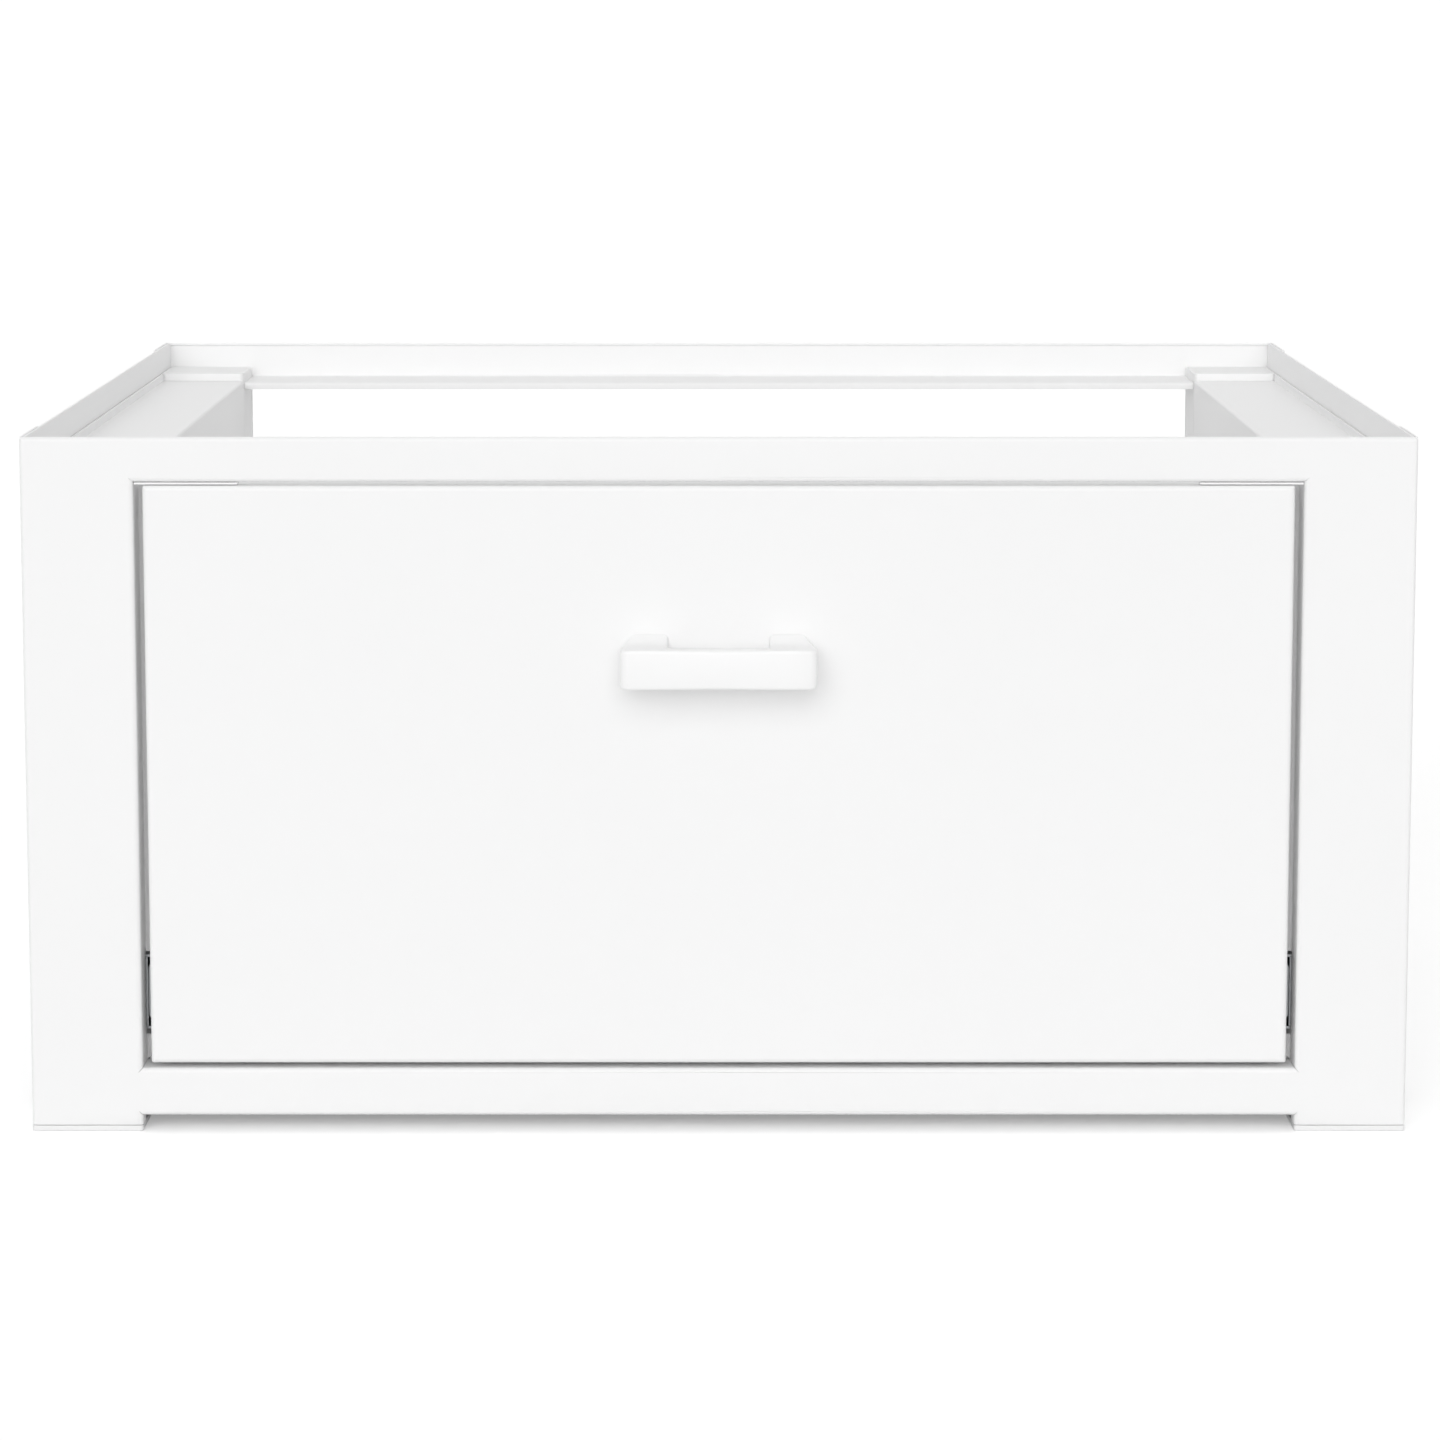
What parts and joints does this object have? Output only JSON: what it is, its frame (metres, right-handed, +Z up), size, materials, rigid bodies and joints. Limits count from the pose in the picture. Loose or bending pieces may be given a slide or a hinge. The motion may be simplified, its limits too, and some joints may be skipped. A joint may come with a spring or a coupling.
{
  "type": "washer pedestal drawer",
  "caption": "White sheet-steel pedestal for a washing machine or dryer, with a rimmed platform on top and a full-width drawer that pulls out on ball-bearing slides by a bow handle.",
  "frame": {"origin": "on the floor, under the middle of the whole part with its handle", "axes": "+X to the right seen from the front, +Y from the drawer front towards the back, +Z up"},
  "size_m": [0.63, 0.565, 0.32],
  "materials": {
    "white_powder_coat": "satin powder coat",
    "white_plastic": "moulded, low gloss",
    "foot_plastic": "moulded, matte",
    "zinc_plate": "bright zinc plate",
    "ball_steel": "polished balls in a pressed cage",
    "black_plastic": "moulded, matte"
  },
  "bodies": {
    "frame": {"front_frame": "white_powder_coat", "rear_frame": "white_powder_coat", "left_side_panel": "white_powder_coat", "right_side_panel": "white_powder_coat", "left_side_shelf": "white_powder_coat", "right_side_shelf": "white_powder_coat", "left_front_post": "white_powder_coat", "right_front_post": "white_powder_coat", "left_rear_post": "white_powder_coat", "right_rear_post": "white_powder_coat", "left_front_gusset": "white_powder_coat", "right_front_gusset": "white_powder_coat", "left_front_foot": "foot_plastic", "right_front_foot": "foot_plastic", "left_rear_foot": "foot_plastic", "right_rear_foot": "foot_plastic", "left_front_lower_bolt": "zinc_plate", "left_front_upper_bolt": "zinc_plate", "left_rear_lower_bolt": "zinc_plate", "left_rear_upper_bolt": "zinc_plate", "right_front_lower_bolt": "zinc_plate", "right_front_upper_bolt": "zinc_plate", "right_rear_lower_bolt": "zinc_plate", "right_rear_upper_bolt": "zinc_plate", "left_slide_cabinet_member": "zinc_plate", "right_slide_cabinet_member": "zinc_plate", "left_slide_front_rivet": "zinc_plate", "left_slide_rear_rivet": "zinc_plate", "right_slide_front_rivet": "zinc_plate", "right_slide_rear_rivet": "zinc_plate"},
    "drawer": {"drawer_front": "white_powder_coat", "left_drawer_side": "white_powder_coat", "right_drawer_side": "white_powder_coat", "drawer_bottom": "white_powder_coat", "drawer_back": "white_powder_coat", "left_back_lower_screw": "zinc_plate", "left_back_upper_screw": "zinc_plate", "right_back_lower_screw": "zinc_plate", "right_back_upper_screw": "zinc_plate", "handle": "white_plastic", "left_handle_screw": "zinc_plate", "right_handle_screw": "zinc_plate", "left_slide_drawer_member": "zinc_plate", "right_slide_drawer_member": "zinc_plate", "left_slide_front_screw": "zinc_plate", "left_slide_rear_screw": "zinc_plate", "right_slide_front_screw": "zinc_plate", "right_slide_rear_screw": "zinc_plate"},
    "left_middle_member": {"left_slide_middle_member": "zinc_plate"},
    "right_middle_member": {"right_slide_middle_member": "zinc_plate"},
    "left_outer_cage": {"left_slide_outer_ball_cage": "ball_steel"},
    "right_outer_cage": {"right_slide_outer_ball_cage": "ball_steel"},
    "left_inner_cage": {"left_slide_inner_ball_cage": "ball_steel"},
    "right_inner_cage": {"right_slide_inner_ball_cage": "ball_steel"},
    "left_lever": {"left_slide_release_lever": "black_plastic"},
    "right_lever": {"right_slide_release_lever": "black_plastic"}
  },
  "joints": [
    {"name": "drawer_slide", "type": "slide", "parent": "frame", "child": "drawer", "axis": [0, -1, 0], "range_m": [0, 0.38]},
    {"name": "left_middle_slide", "type": "slide", "parent": "frame", "child": "left_middle_member", "axis": [0, -1, 0], "range_m": [0, 0.191]},
    {"name": "right_middle_slide", "type": "slide", "parent": "frame", "child": "right_middle_member", "axis": [0, -1, 0], "range_m": [0, 0.191]},
    {"name": "left_outer_cage_roll", "type": "slide", "parent": "frame", "child": "left_outer_cage", "axis": [0, -1, 0], "range_m": [0, 0.096]},
    {"name": "right_outer_cage_roll", "type": "slide", "parent": "frame", "child": "right_outer_cage", "axis": [0, -1, 0], "range_m": [0, 0.096]},
    {"name": "left_inner_cage_roll", "type": "slide", "parent": "frame", "child": "left_inner_cage", "axis": [0, -1, 0], "range_m": [0, 0.286]},
    {"name": "right_inner_cage_roll", "type": "slide", "parent": "frame", "child": "right_inner_cage", "axis": [0, -1, 0], "range_m": [0, 0.286]},
    {"name": "left_lever_pivot", "type": "hinge", "parent": "drawer", "child": "left_lever", "pos_m": [-0.25625, -0.0875, 0.0609], "axis": [1, 0, 0], "range_deg": [-4, 4], "stiffness_Nm_per_rad": 0.05},
    {"name": "right_lever_pivot", "type": "hinge", "parent": "drawer", "child": "right_lever", "pos_m": [0.25625, -0.0875, 0.0609], "axis": [1, 0, 0], "range_deg": [-4, 4], "stiffness_Nm_per_rad": 0.05}
  ],
  "couplings": [
    {"joint": "left_middle_slide", "follows": "drawer_slide", "ratio": 0.5},
    {"joint": "right_middle_slide", "follows": "drawer_slide", "ratio": 0.5},
    {"joint": "left_outer_cage_roll", "follows": "drawer_slide", "ratio": 0.25},
    {"joint": "right_outer_cage_roll", "follows": "drawer_slide", "ratio": 0.25},
    {"joint": "left_inner_cage_roll", "follows": "drawer_slide", "ratio": 0.75},
    {"joint": "right_inner_cage_roll", "follows": "drawer_slide", "ratio": 0.75}
  ]
}
